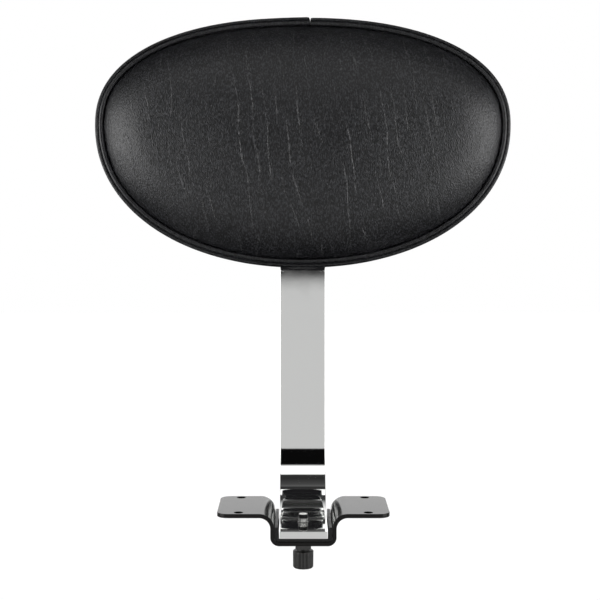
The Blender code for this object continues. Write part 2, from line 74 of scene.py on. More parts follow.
def lean_box(node):
    """A CAD node's box in a frame that leans with the upright."""
    turn = np.array(TO_LEAN.to_3x3())
    points = np.array([v.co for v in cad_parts[node].data.vertices]) @ turn
    return Vector(points.min(0)), Vector(points.max(0))


def spread(first, last, count):
    """Evenly spaced numbers from first to last."""
    return np.linspace(first, last, count).tolist()


GAP = 0.3 * MM  # clearance kept between touching CAD pieces

BAR_LOW, BAR_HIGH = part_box("l_bar")
BAR_THICKNESS = 6 * MM
BAR_HALF = BAR_HIGH.x
BEND_RADIUS = 56.5 * MM  # inside of the bend
LEG_LENGTH = 27.5 * MM - BAR_LOW.y  # flat part of the leg
LEG_TOP = BAR_LOW.z + BAR_THICKNESS

BRACKET_LOW, BRACKET_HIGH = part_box("mounting_bracket")
STEEL = 3.4 * MM
CHANNEL_HALF = 26.7 * MM
EAR_BEND_RADIUS = 9 * MM  # concave side
FLOOR_BEND_RADIUS = 3.6 * MM  # concave side
EAR_CORNER_RADIUS = 9 * MM
SEAT_HOLE_RADIUS = 3.5 * MM
SEAT_HOLE_PLACES = [(x, y) for x in (-52.5 * MM, 52.5 * MM) for y in (-28 * MM, 28 * MM)]
SLOT_RADIUS = 4.5 * MM
SLOT_REACH = 12.3 * MM
SCREW_HOLE_RADIUS = 4.3 * MM  # round the clamp screw
BOLT_HOLE_RADIUS = 3.3 * MM  # round the pad bolts
WASHER_EASE = 0.15 * MM
PANEL_SCREWS = 6

LINER_LOW, LINER_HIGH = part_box("channel_liner")
LINER_WALL = 2.4 * MM
LINER_FLOOR = 2 * MM

WELT_LOW, WELT_HIGH = lean_box("welt_piping")
COVER_LOW, COVER_HIGH = lean_box("front_cover")
BAND_LOW, BAND_HIGH = lean_box("side_band")
PANEL_LOW, PANEL_HIGH = lean_box("back_panel")

WELT_RADIUS = 3.4 * MM
WELT_INSET = 3.5 * MM  # the welt's centre line, in from the outline
WELT_JOINT_X = 6.6 * MM
HALF_WIDTH = WELT_HIGH.x + WELT_INSET - WELT_RADIUS
RISE_POWER = 2.27  # superellipse above the widest line
DROP_POWER = 2.12  # and below it
RISE_SHARE = 0.4289  # share of the pad's height above that line
PAD_HEIGHT = WELT_HIGH.z - WELT_LOW.z + 2 * (WELT_INSET - WELT_RADIUS)
RISE = PAD_HEIGHT * RISE_SHARE
DROP = PAD_HEIGHT - RISE
FACE = PANEL_HIGH.y + GAP  # the bar's front face, in the leaning frame
PAD_LEVEL = WELT_HIGH.z + WELT_INSET - WELT_RADIUS - RISE  # of the widest line
PAD = TO_LEAN @ Matrix.Translation((0.0, FACE, PAD_LEVEL))


def forward_of(lean_y):
    """How far a leaning-frame y lies in front of the bar's face."""
    return FACE - lean_y


def pad_place(node):
    """Where a node's middle lies across and up the pad."""
    low, high = lean_box(node)
    return (low.x + high.x) / 2, (low.z + high.z) / 2 - PAD_LEVEL


WELT_FORWARD = forward_of((WELT_LOW.y + WELT_HIGH.y) / 2)
COVER_BACK = forward_of(COVER_HIGH.y)
CROWN = forward_of(COVER_LOW.y)
COVER_INSET = HALF_WIDTH - COVER_HIGH.x
BAND_BACK = forward_of(BAND_HIGH.y)
BAND_INSET = HALF_WIDTH - BAND_HIGH.x
PANEL_BACK = forward_of(PANEL_HIGH.y)
PANEL_FRONT = forward_of(PANEL_LOW.y)
PANEL_INSET = HALF_WIDTH - PANEL_HIGH.x


# ---- materials

class Finish:
    """A Principled material with the node patterns that the finishes share."""

    def __init__(self, name, colour, roughness, **others):
        self.material = bpy.data.materials.new(name)
        self.material.use_nodes = True
        self.nodes = self.material.node_tree.nodes
        self.links = self.material.node_tree.links
        self.shader = self.nodes["Principled BSDF"]
        self.set("Base Color", (*colour, 1.0))
        self.set("Roughness", roughness)
        for socket, value in others.items():
            self.set(socket.replace("_", " "), value)
        self.place = self.nodes.new("ShaderNodeTexCoord").outputs["Object"]
        self.height = None

    def set(self, socket, value):
        self.feed(self.shader.inputs[socket], value)

    def feed(self, socket, value):
        if isinstance(value, bpy.types.NodeSocket):
            self.links.new(value, socket)
        else:
            socket.default_value = value

    def node(self, kind, **inputs):
        """A new node with its named inputs set or linked."""
        made = self.nodes.new("ShaderNode" + kind)
        for name, value in inputs.items():
            self.feed(made.inputs[name], value)
        return made

    def axes(self):
        """The point's x, y and z."""
        return self.node("SeparateXYZ", Vector=self.place).outputs

    def stretched(self, scale, turn=(0.0, 0.0, 0.0)):
        return self.node("Mapping", Vector=self.place, Scale=scale, Rotation=turn).outputs["Vector"]

    def noise(self, size, detail=2.0, roughness=0.5, distortion=0.0, source=None):
        return self.node("TexNoise", Vector=source or self.place, Scale=1.0 / size, Detail=detail,
                Roughness=roughness, Distortion=distortion).outputs["Fac"]

    def cells(self, size, source=None):
        """Distance from the nearest edge between cells."""
        made = self.node("TexVoronoi", Vector=source or self.place, Scale=1.0 / size)
        made.feature = "DISTANCE_TO_EDGE"
        return made.outputs["Distance"]

    def ramp(self, value, *stops):
        """Map a value through (position, level or colour) stops."""
        made = self.node("ValToRGB", Fac=value)
        elements = made.color_ramp.elements
        while len(elements) < len(stops):
            elements.new(0.5)
        for element, (position, level) in zip(elements, stops):
            element.position = position
            shade = level if isinstance(level, tuple) else (level,) * 3
            element.color = (*shade, 1.0)
        return made.outputs["Color"]

    def vary(self, socket, pattern, *stops):
        """Drive a shader socket by a pattern mapped through stops."""
        self.set(socket, self.ramp(pattern, *stops))

    def calc(self, operation, first, second=0.0):
        made = self.node("Math")
        made.operation = operation
        self.feed(made.inputs[0], first)
        self.feed(made.inputs[1], second)
        return made.outputs["Value"]

    def times(self, first, *others):
        for other in others:
            first = self.calc("MULTIPLY", first, other)
        return first

    def plus(self, first, second):
        return self.calc("ADD", first, second)

    def ridges(self, value, width):
        """1 where a noise crosses its middle, falling to 0 a width away."""
        off = self.calc("ABSOLUTE", self.calc("SUBTRACT", value, 0.5))
        return self.ramp(off, (0.0, 1.0), (width, 0.0))

    def bump(self, height, depth):
        """Add a height pattern, scaled to a real depth, under the earlier ones."""
        made = self.node("Bump", Height=height, Distance=depth, Strength=1.0)
        if self.height is not None:
            self.links.new(self.height, made.inputs["Normal"])
        self.height = made.outputs["Normal"]
        self.set("Normal", self.height)


def vinyl(name, fold_depth, grain_share=1.0):
    """Black upholstery vinyl with an upright pebble grain, creased where fold_depth is above 0."""
    made = Finish(name, (0.013, 0.0132, 0.0150), 0.4, IOR=1.5)
    upright = made.stretched((1.0, 1.0, 0.42))
    fine = made.noise(1.1 * MM, 1.0, 0.6, source=upright)
    tone = made.ramp(fine, (0.40, (0.0004, 0.0005, 0.0008)), (0.50, (0.0024, 0.0026, 0.0038)),
            (0.61, (0.0190, 0.0194, 0.0222)))
    if fold_depth > 0:
        tone = creased(made, fold_depth, fine, upright, tone)
    made.set("Base Color", tone)
    made.vary("Roughness", made.noise(48 * MM), (0.3, 0.36), (0.7, 0.46))
    made.bump(made.cells(1.3 * MM, upright), 0.32 * MM * grain_share)
    made.bump(fine, 0.13 * MM * grain_share)
    return made.material


def creased(made, depth, fine, upright, tone):
    """Crease a vinyl along wandering upright lines; returns its tone, paler along them: partly wear,
    partly a painted highlight where the creases catch light.
    """
    spacing, slant = 11 * MM, 0.17
    x, _, z = made.axes()
    long = made.stretched((1.0, 1.0, 0.35))
    wander = made.plus(made.times(made.noise(34 * MM, 1.0, source=long), 2.8),
            made.times(made.noise(7 * MM, source=long), 0.34))
    run = made.calc("DIVIDE", made.plus(x, made.times(z, slant)), spacing)
    turn = made.calc("FRACT", made.plus(run, wander))
    drawn = made.stretched((1.0, 1.0, 0.09), (0.0, radians(-9), 0.0))
    where = made.ramp(made.noise(10 * MM, 1.0, source=drawn), (0.46, 0.0), (0.60, 1.0))
    broken = made.ramp(made.noise(2 * MM, source=upright), (0.36, 0.40), (0.56, 1.0))
    lines = made.times(made.ridges(turn, 0.050), where, broken)
    beside = made.times(made.ridges(turn, 0.45), where, made.ramp(fine, (0.46, 0.0), (0.66, 1.0)))
    made.bump(made.noise(6 * MM, 2.0, 0.5, 0.2, source=drawn), 0.9 * depth)
    made.bump(lines, depth)
    # paler along and beside the creases: partly wear, partly painted highlight
    painted_sheen_and_wear = made.ramp(made.plus(lines, made.times(beside, 0.60)), (0.1, 0.0), (1.0, 0.019))
    paler = made.node("VectorMath")
    made.feed(paler.inputs[0], tone)
    made.feed(paler.inputs[1], painted_sheen_and_wear)
    return paler.outputs["Vector"]


def chrome():
    made = Finish("bright_chrome", (0.93, 0.935, 0.925), 0.03, Metallic=1.0)
    made.vary("Roughness", made.noise(14 * MM, 3.0), (0.35, 0.025), (0.75, 0.07))
    made.bump(made.noise(6 * MM), 0.002 * MM)
    made.bump(made.noise(0.5 * MM), 0.0006 * MM)
    return made.material


def enamel():
    made = Finish("gloss_black_enamel", (0.004, 0.004, 0.004), 0.12, Specular_IOR_Level=0.22,
            Specular_Tint=(1.0, 0.965, 0.955, 1.0))
    made.vary("Roughness", made.noise(9 * MM, 3.0), (0.3, 0.09), (0.7, 0.16))
    made.vary("Base Color", made.noise(2 * MM, 3.0), (0.35, 0.003), (0.7, (0.0060, 0.0058, 0.0055)))
    made.bump(made.noise(3.2 * MM, 1.0), 0.006 * MM)
    return made.material


def nylon():
    made = Finish("black_nylon", (0.006, 0.006, 0.006), 0.32, Specular_IOR_Level=0.35)
    made.vary("Roughness", made.noise(6 * MM, 3.0), (0.3, 0.36), (0.7, 0.5))
    made.vary("Base Color", made.noise(3 * MM), (0.3, 0.004), (0.7, (0.008, 0.008, 0.0075)))
    drag = made.stretched((1.0, 0.05, 1.0))
    made.bump(made.noise(0.7 * MM, source=drag), 0.02 * MM)
    return made.material


def zinc():
    made = Finish("zinc_plated_steel", (0.66, 0.66, 0.64), 0.28, Metallic=1.0)
    cloud = made.noise(3 * MM, 4.0, 0.6)
    made.vary("Base Color", cloud, (0.3, (0.52, 0.52, 0.50)), (0.7, (0.72, 0.72, 0.71)))
    made.vary("Roughness", cloud, (0.3, 0.36), (0.75, 0.22))
    made.bump(made.noise(0.4 * MM), 0.01 * MM)
    return made.material


def black_oxide():
    made = Finish("black_oxide_steel", (0.03, 0.03, 0.03), 0.35, Metallic=0.6)
    cloud = made.noise(2 * MM, 4.0, 0.6)
    made.vary("Base Color", cloud, (0.3, 0.010), (0.75, (0.030, 0.029, 0.027)))
    made.vary("Roughness", cloud, (0.3, 0.28), (0.7, 0.45))
    made.bump(made.noise(0.4 * MM), 0.015 * MM)
    return made.material


def screw_with_painted_highlight(tip):
    """Black screw steel with a dull pale cut end, and a painted highlight: a band of its thread beside the
    leg is coloured as light metal.
    """
    made = Finish("black_screw_pale_end_painted_highlight", (0.03, 0.03, 0.03), 0.3, Metallic=1.0)
    depth = made.calc("DIVIDE", made.calc("SUBTRACT", tip, made.axes()[2]), 10 * MM)
    # painted highlight: the thread about 4 to 7 mm below the tip is coloured as light metal
    highlight_tone = (0.75, 0.75, 0.73)
    made.vary("Base Color", depth, (0.01, (0.85, 0.85, 0.82)), (0.04, 0.03), (0.32, 0.03),
            (0.42, highlight_tone), (0.66, highlight_tone), (0.72, 0.03))
    made.vary("Metallic", depth, (0.01, 0.0), (0.04, 1.0))
    made.vary("Roughness", made.noise(1.5 * MM, 3.0), (0.3, 0.22), (0.7, 0.40))
    made.bump(made.noise(0.4 * MM), 0.008 * MM)
    return made.material


def knob_plastic():
    made = Finish("black_moulded_plastic", (0.010, 0.0098, 0.0090), 0.38, Specular_IOR_Level=0.4)
    made.vary("Roughness", made.noise(4 * MM, 3.0), (0.3, 0.36), (0.7, 0.52))
    made.vary("Base Color", made.noise(1.5 * MM, 3.0), (0.3, (0.0075, 0.0073, 0.0068)),
            (0.7, (0.014, 0.0135, 0.0125)))
    made.bump(made.noise(0.35 * MM), 0.02 * MM)
    return made.material


def panel_plastic():
    made = Finish("textured_black_plastic", (0.014, 0.014, 0.014), 0.6)
    made.vary("Roughness", made.noise(20 * MM, 3.0), (0.3, 0.52), (0.7, 0.68))
    made.vary("Base Color", made.noise(1 * MM, 3.0), (0.3, 0.011), (0.7, 0.020))
    made.bump(made.ramp(made.cells(1.1 * MM), (0.0, 0.0), (0.3, 1.0)), 0.08 * MM)
    return made.material


def plywood():
    made = Finish("plywood", (0.55, 0.40, 0.25), 0.7)
    ply = 2.4 * MM
    plies = made.node("TexWave", Vector=made.place, Scale=1 / ply / 20)
    plies.bands_direction = "Y"
    along = made.stretched((0.06, 1.0, 1.0))
    grain = made.noise(1.6 * MM, 4.0, 0.6, 0.4, source=along)
    share = made.times(made.plus(grain, plies.outputs["Fac"]), 0.5)
    made.vary("Base Color", share, (0.25, (0.36, 0.23, 0.12)), (0.75, (0.62, 0.46, 0.29)))
    made.bump(grain, 0.05 * MM)
    return made.material


def foam():
    made = Finish("polyurethane_foam", (0.75, 0.70, 0.52), 0.95)
    made.vary("Base Color", made.noise(12 * MM, 3.0), (0.3, (0.68, 0.62, 0.44)), (0.7, (0.80, 0.75, 0.58)))
    made.bump(made.cells(0.9 * MM), 0.3 * MM)
    return made.material


FINISHES = {
    "chrome_bar": chrome(), "bracket_enamel": enamel(), "liner_nylon": nylon(),
    "zinc_hardware": zinc(), "black_hardware": black_oxide(), "knob_plastic": knob_plastic(),
    "plywood": plywood(), "foam": foam(), "vinyl": vinyl("black_grained_vinyl", 0.20 * MM),
    "back_panel_plastic": panel_plastic(),
}
PIPING_VINYL = vinyl("black_vinyl_piping", 0.0, 0.35)


# ---- mesh building

def skin(rings, wrap=False):
    """Points and quads over equal closed rings; the end rings are capped unless they join."""
    size = len(rings[0])
    points = [point for ring in rings for point in ring]
    faces = []
    for row in range(len(rings) if wrap else len(rings) - 1):
        near, far = row * size, (row + 1) % len(rings) * size
        for i in range(size):
            j = (i + 1) % size
            faces.append((near + i, near + j, far + j, far + i))
    if not wrap:
        faces.append(tuple(reversed(range(size))))
        faces.append(tuple(range((len(rings) - 1) * size, len(rings) * size)))
    return points, faces


def sheets(grids):
    """Points and quads of several grids of points; matching edges are welded later."""
    points, faces = [], []
    for grid in grids:
        start, columns = len(points), len(grid[0])
        points += [point for row in grid for point in row]
        for row in range(len(grid) - 1):
            for column in range(columns - 1):
                a = start + row * columns + column
                faces.append((a, a + 1, a + columns + 1, a + columns))
    return points, faces


def mesh_of(name, points, faces, place=HERE):
    bm = bmesh.new()
    made = [bm.verts.new(place @ Vector(point)) for point in points]
    for face in faces:
        bm.faces.new([made[i] for i in face])
    bmesh.ops.remove_doubles(bm, verts=bm.verts, dist=0.002 * MM)
    bmesh.ops.recalc_face_normals(bm, faces=bm.faces)
    mesh = bpy.data.meshes.new(name)
    bm.to_mesh(mesh)
    bm.free()
    return mesh


def new_object(name, mesh):
    made = bpy.data.objects.new(name, mesh)
    bpy.context.scene.collection.objects.link(made)
    return made


def shaped(name, points, faces, place=HERE):
    return new_object(name, mesh_of(name, points, faces, place))


def assign(target, **settings):
    for name, value in settings.items():
        setattr(target, name, value)


def add_modifier(piece, kind, **settings):
    assign(piece.modifiers.new(kind.lower(), kind), **settings)


def finish_piece(piece, body, slot, nodes, material=None, sharp=38, even=True):
    """Shade a piece, give it its finish and hang it on the frame in place of CAD nodes.

    Flat faces stay flat beside their rounded edges where even is true.
    """
    piece.data.materials.clear()
    piece.data.materials.append(material or FINISHES[slot])
    piece.data.shade_smooth()
    piece.data.set_sharp_from_angle(angle=radians(sharp))
    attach(piece, body)
    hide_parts(*nodes)
    if even:
        add_modifier(piece, "WEIGHTED_NORMAL", mode="FACE_AREA", keep_sharp=True)


def bake(piece):
    """Apply a piece's modifiers to its mesh."""
    evaluated = piece.evaluated_get(bpy.context.evaluated_depsgraph_get())
    mesh = bpy.data.meshes.new_from_object(evaluated)
    piece.modifiers.clear()
    piece.data = mesh


def carve(piece, *cutters):
    """Subtract cutters from a piece, each the points and faces of a mesh and its place."""
    for shape, place in cutters:
        cutter = shaped("cutter", *shape, place)
        add_modifier(piece, "BOOLEAN", operation="DIFFERENCE", object=cutter)
        bpy.context.view_layer.update()
        bake(piece)
        bpy.data.meshes.remove(cutter.data)


def around(count):
    """Even angles once round."""
    return [2 * pi * i / count for i in range(count)]


def round_at(reach, angle, level):
    return Vector((reach * cos(angle), reach * sin(angle), level))


def circle(radius, level, sides, centre=(0.0, 0.0)):
    x, y = centre
    return [Vector((x + radius * cos(a), y + radius * sin(a), level)) for a in around(sides)]


def lathe(profile, sides=48, centre=(0.0, 0.0), wrap=False):
    return skin([circle(radius, level, sides, centre) for radius, level in profile], wrap)


def flared(radius, low, high, flare):
    """Radius and level of a hole's cutter, wider at both faces of a plate."""
    return [(radius + 2 * flare, low - flare), (radius, low + flare),
            (radius, high - flare), (radius + 2 * flare, high + flare)]


LAY_BACK = Matrix.Rotation(radians(90), 4, "X")  # +Z pieces then point along -Y


def on_pad(across=0.0, up=0.0):
    """Place for a piece made along +Z, pointing forward from the bar's face."""
    return PAD @ Matrix.Translation((across, 0.0, up)) @ LAY_BACK


class Track:
    """A flat line of (length, turn) runs from a start point; turn 0 is a straight run."""

    def __init__(self, start, heading, runs):
        self.runs = []
        point = Vector(start)
        begin = 0.0
        for length, turn in runs:
            self.runs.append((begin, length, turn / length, point.copy(), heading))
            point, heading = self.step(point, heading, turn / length, length)
            begin += length
        self.length = begin

    @staticmethod
    def step(point, heading, curve, run):
        if abs(curve) < 1e-9:
            return point + run * Vector((cos(heading), sin(heading))), heading
        ahead = heading + curve * run
        return point + Vector((sin(ahead) - sin(heading),
                cos(heading) - cos(ahead))) / curve, ahead

    def at(self, run, lift=0.0):
        """Point at a run along the line, lifted to its left."""
        for begin, length, curve, point, heading in reversed(self.runs):
            if run >= begin:
                break
        point, heading = self.step(point, heading, curve, run - begin)
        return point + lift * Vector((-sin(heading), cos(heading)))

    def stations(self, straight, bent):
        """Runs along the line, in so many steps to each straight part and each bend."""
        stations = []
        for begin, length, curve, _, _ in self.runs:
            steps = bent if curve else straight
            stations += [begin + length * i / steps for i in range(steps)]
        return stations


def bent_plate(track, half_width, thickness, edge, corners, stations, place, columns=16, bow=None):
    """Grids of a bent plate with rounded edges and rounded plan corners.

    corners are the corner radii at the start and the end, stations the runs between them,
    place turns (across, flat point) into 3D, and bow(run, across) lifts the whole section.
    """
    rounding = 4
    layers = [(edge * (1 - sin(a)), -thickness / 2 + edge * (1 - cos(a)))
            for a in spread(0, pi / 2, rounding + 1)]
    layers += [(inset, -level) for inset, level in reversed(layers)]
    arc = 6

    def plan(inset):
        """(run, half width) stations of the outline moved in by an inset."""
        outline = []
        start, end = corners
        for turn in spread(0, pi / 2, arc + 1):
            outline.append((start - (start - inset) * cos(turn),
                    half_width - start + (start - inset) * sin(turn)))
        outline += [(run, half_width - inset) for run in stations]
        for turn in spread(pi / 2, 0, arc + 1):
            outline.append((track.length - end + (end - inset) * cos(turn),
                    half_width - end + (end - inset) * sin(turn)))
        return outline

    def point(run, across, level):
        lift = bow(run, across) if bow else 0.0
        return place(across, track.at(run, level + lift))

    keep_flat = 1 - 0.35 * MM / half_width
    shares = [-1.0] + spread(-keep_flat, keep_flat, columns - 1) + [1.0]

    def across_row(run, half, level):
        return [point(run, half * share, level) for share in shares]

    plans = [(plan(inset), level) for inset, level in layers]
    grids = [[across_row(run, half, level) for run, half in outline]
            for outline, level in (plans[0], plans[-1])]
    for side in (-1, 1):
        grids.append([[point(run, side * half, level) for run, half in outline]
                for outline, level in plans])
    for end in (0, -1):
        grids.append([across_row(outline[end][0], outline[end][1], level) for outline, level in plans])
    return sheets(grids)


# ---- bar, bracket and liner

def make_bar():
    """Chromed flat bar; bending has bowed its section slightly in the bend."""
    middle = LEG_TOP - BAR_THICKNESS / 2
    radius = BEND_RADIUS + BAR_THICKNESS / 2
    turn = pi / 2 - LEAN
    bend_end = middle + radius * (1 - cos(turn))
    top = BAR_HIGH.z - BAR_THICKNESS / 2 * sin(LEAN)
    track = Track((BAR_LOW.y, middle), 0.0, [
        (LEG_LENGTH, 0.0), (radius * turn, turn), ((top - bend_end) / cos(LEAN), 0.0)])
    start, end = LEG_LENGTH, LEG_LENGTH + radius * turn
    stations = (spread(6 * MM, start - 4 * MM, 8) + spread(start - 2 * MM, end + 2 * MM, 90)
            + spread(end + 6 * MM, track.length - 12 * MM, 14))
    ramp = 9 * MM
    depth = 0.22 * MM

    def bow(run, across):
        entered = min(max((run - start + ramp / 2) / ramp, 0.0), 1.0)
        inside = entered * min(max((end + ramp / 2 - run) / ramp, 0.0), 1.0)
        smooth = inside * inside * (3 - 2 * inside)
        return -depth * smooth * (across / BAR_HALF) ** 2

    points, faces = bent_plate(track, BAR_HALF, BAR_THICKNESS, 0.3 * MM, (1.2 * MM, 8 * MM), stations,
            lambda across, flat: Vector((across, flat.x, flat.y)), bow=bow)
    bar = shaped("chromed_bar", points, faces)
    flare = 0.4 * MM
    bore = flared(BOLT_HOLE_RADIUS, -BAR_THICKNESS, 0.0, flare)
    carve(bar, (lathe(flared(SCREW_HOLE_RADIUS, BAR_LOW.z, LEG_TOP, flare)), HERE),
          *[(lathe(bore), on_pad(up=pad_place(bolt)[1])) for bolt in ("pad_bolt_upper", "pad_bolt_lower")])
    finish_piece(bar, "backrest", "chrome_bar", ["l_bar"])


def slot_cutter(low, high, flare, sides=32):
    """Cutter for the clamp slot, flared at both faces of a plate."""
    def ring(radius, level):
        half = [round_at(radius, 2 * pi * i / sides, level) for i in range(sides // 2 + 1)]
        half = [point + Vector((0.0, SLOT_REACH, 0.0)) for point in half]
        return half + [Vector((-point.x, -point.y, level)) for point in half]
    return skin([ring(*station) for station in flared(SLOT_RADIUS, low, high, flare)]), HERE


def make_bracket():
    """One bent steel strip: ear, channel, ear."""
    ear_bend = EAR_BEND_RADIUS + STEEL / 2
    floor_bend = FLOOR_BEND_RADIUS + STEEL / 2
    wall_x = CHANNEL_HALF - STEEL / 2
    ear = BRACKET_HIGH.x - wall_x - ear_bend
    top = BRACKET_HIGH.z - STEEL / 2
    floor = BRACKET_LOW.z + STEEL / 2
    wall = top - floor - ear_bend - floor_bend
    quarter = pi / 2
    half = [(ear, 0.0), (ear_bend * quarter, -quarter), (wall, 0.0), (floor_bend * quarter, quarter)]
    track = Track((-BRACKET_HIGH.x, top), 0.0,
            half + [(2 * (wall_x - floor_bend), 0.0)] + half[::-1])
    keep = EAR_CORNER_RADIUS + 1 * MM
    stations = [run for run in track.stations(5, 16) if keep < run < track.length - keep]
    points, faces = bent_plate(track, BRACKET_HIGH.y, STEEL, 0.5 * MM, (EAR_CORNER_RADIUS,) * 2, stations,
            lambda across, flat: Vector((flat.x, across, flat.y)), columns=8)
    bracket = shaped("enamelled_bracket", points, faces)
    flare = 0.3 * MM
    profile = flared(SEAT_HOLE_RADIUS, BRACKET_HIGH.z - STEEL, BRACKET_HIGH.z, flare)
    carve(bracket, *[(lathe(profile, centre=place), HERE) for place in SEAT_HOLE_PLACES],
          slot_cutter(BRACKET_LOW.z, BRACKET_LOW.z + STEEL, flare))
    finish_piece(bracket, "bracket", "bracket_enamel", ["mounting_bracket"])


def make_liner():
    """Moulded U that lines the channel, its rims eased."""
    soft = 0.8 * MM  # inside radius of its two bends
    quarter = pi / 2

    def line(half, floor, bend):
        """Down one side, across the floor and up the other."""
        side, turn = (LINER_HIGH.z - floor - bend, 0.0), (bend * quarter, quarter)
        track = Track((-half, LINER_HIGH.z), -quarter, [side, turn, (2 * (half - bend), 0.0), turn, side])
        return [track.at(run) for run in track.stations(1, 8) + [track.length]]

    floor = LINER_LOW.z + LINER_FLOOR
    section = line(LINER_HIGH.x, LINER_LOW.z, soft + LINER_WALL)
    section += line(LINER_HIGH.x - LINER_WALL, floor, soft)[::-1]
    rings = [[Vector((p.x, y, p.y)) for p in section] for y in spread(LINER_LOW.y, LINER_HIGH.y, 5)]
    liner = shaped("nylon_liner", *skin(rings))
    carve(liner, slot_cutter(LINER_LOW.z, floor, 0.2 * MM))
    add_modifier(liner, "BEVEL", width=0.4 * MM, segments=3, limit_method="ANGLE",
            angle_limit=radians(40))
    finish_piece(liner, "bracket", "liner_nylon", ["channel_liner"])


# ---- hardware

def threaded(radius, pitch, low, high, chamfer, sides=40):
    """A rod with a real helical thread and chamfered ends."""
    depth = 0.61 * pitch / 2
    per_turn = 8
    levels = spread(low, high, int((high - low) / pitch * per_turn) + 1)
    rings = []
    for level in levels:
        limit = radius - max(0.0, chamfer - (high - level), chamfer - (level - low))
        ring = []
        for i in range(sides):
            phase = (level / pitch - i / sides) % 1.0
            crest = min(max(2.6 * abs(phase - 0.5) - 0.15, 0.0), 1.0)
            reach = min(radius - depth * crest, limit)
            angle = 2 * pi * i / sides
            ring.append(round_at(reach, angle, level))
        rings.append(ring)
    return skin(rings)


def hexagon_rings(flats, low, high, chamfered, cone=radians(30), sides=96):
    """Rings of a hexagon whose corners are turned off by a cone at the chamfered ends."""
    corner = flats / sqrt(3)
    face = flats / 2 * 0.96  # radius of the turned end face
    drop = (corner - face) * tan(cone)
    levels = sorted({low, low + drop / 3, low + 2 * drop / 3, low + drop, (low + high) / 2,
            high - drop, high - 2 * drop / 3, high - drop / 3, high})
    rings = []
    for level in levels:
        away = [abs(level - end) for end in chamfered]
        limit = face + min(away) / tan(cone)
        ring = []
        for angle in around(sides):
            off_flat = (angle + pi / 6) % (pi / 3) - pi / 6
            reach = min(flats / 2 / cos(off_flat), limit)
            ring.append(round_at(reach, angle, level))
        rings.append(ring)
    return rings


def cad_piece(name, node, body, slot, mesh, place=HERE, **shading):
    """A finer stand-in for one CAD node."""
    piece = shaped(name, *mesh, place)
    finish_piece(piece, body, slot, [node], **shading)
    return piece


def ring_section(inner, outer, low, high):
    """Profile of a washer with eased outer and inner edges."""
    ease = WASHER_EASE
    return [(inner + ease, low), (outer - ease, low), (outer, low + ease), (outer, high - ease),
            (outer - ease, high), (inner + ease, high), (inner, high - ease), (inner, low + ease)]


def split_ring(inner, outer, low, high, sides=64):
    """Spring washer whose ends are cut at a slant and set a little apart."""
    section = ring_section(inner, outer, low, high)
    rings = []
    for i in range(sides + 1):
        ring = []
        for radius, level in section:
            slant = (level - low) / (high - low) * 0.12
            angle = 2 * pi * 0.965 * i / sides + slant
            ring.append(round_at(radius, angle, level))
        rings.append(ring)
    return skin(rings)


def make_washer(name, node, body, bore, sprung, spot=None):
    """Flat or spring washer; spot is given for one on a pad bolt."""
    if spot is None:
        low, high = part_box(node)
        section = (bore, high.x, low.z, high.z)
    else:
        low, high = lean_box(node)
        section = (bore, high.x, forward_of(high.y), forward_of(low.y))
    mesh = split_ring(*section) if sprung else lathe(ring_section(*section), 64, wrap=True)
    cad_piece(name, node, body, "zinc_hardware", mesh, spot or HERE)


def make_clamp():
    """Clamp screw with its washers, nut and hand knob."""
    low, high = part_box("clamp_screw")
    thread = threaded(3.95 * MM, 1.25 * MM, low.z, high.z, 0.7 * MM)
    screw = cad_piece("threaded_clamp_screw", "clamp_screw", "knob", "black_hardware", thread,
            sharp=50, even=False)
    screw.data.materials[0] = screw_with_painted_highlight(high.z)

    bore = SCREW_HOLE_RADIUS
    make_washer("clamp_washer", "clamp_flat_washer", "washers", bore, False)
    make_washer("clamp_spring_washer", "clamp_lock_washer", "washers", bore, True)

    low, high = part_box("jam_nut")
    bevel = 0.5 * MM
    rings = [circle(bore, low.z + bevel, 96), circle(bore + bevel, low.z, 96)]
    rings += hexagon_rings(13 * MM, low.z, high.z, (low.z, high.z))
    rings += [circle(bore + bevel, high.z, 96), circle(bore, high.z - bevel, 96)]
    cad_piece("knob_jam_nut", "jam_nut", "knob", "black_hardware", skin(rings, wrap=True), sharp=25)
    make_knob(bore)


def make_knob(bore):
    """Round hand knob with soft ribs, a boss under the nut and a bore round its moulded-in screw."""
    low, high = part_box("clamp_knob")
    radius = high.x
    bottom, boss_top = low.z, high.z
    rim = boss_top - 1 * MM
    ribs = 12
    depth = 0.55 * MM
    sides = 192

    def ribbed(reach, level, share):
        ring = []
        for angle in around(sides):
            flute = share * depth * (0.5 - 0.5 * cos(ribs * angle)) ** 1.6
            ring.append(round_at(reach - flute, angle, level))
        return ring

    soft, lip = 1.1 * MM, 0.6 * MM  # rounding of its lower and upper edges
    draft = 0.15 * MM  # it narrows by this much downwards
    boss, ease = 5.2 * MM, 0.2 * MM
    rings = [circle(reach, level, sides) for reach, level in (
        (bore, bottom + 3 * MM), (bore, boss_top), (boss - ease, boss_top), (boss, boss_top - ease),
        (boss, rim + ease), (boss + ease, rim))]
    for turn in spread(0, pi / 2, 5):
        rings.append(ribbed(radius - lip * (1 - sin(turn)), rim - lip * (1 - cos(turn)),
                0.5 * sin(turn)))
    for share in (0.2, 0.5, 0.8):
        level = rim - lip - (rim - lip - bottom - soft) * share
        rings.append(ribbed(radius - draft * share, level, 1.0))
    for turn in spread(0, pi / 2, 7):
        rings.append(ribbed(radius - draft - soft * (1 - cos(turn)),
                bottom + soft * (1 - sin(turn)), cos(turn)))
    rings += [circle(reach, bottom + dished, sides) for reach, dished in (
        (5.6 * MM, 0.0), (5.3 * MM, 0.3 * MM), (5.1 * MM, 0.9 * MM), (4.7 * MM, 1 * MM), (bore, 1.3 * MM))]
    cad_piece("ribbed_knob", "clamp_knob", "knob", "knob_plastic", skin(rings, wrap=True),
            sharp=45, even=False)


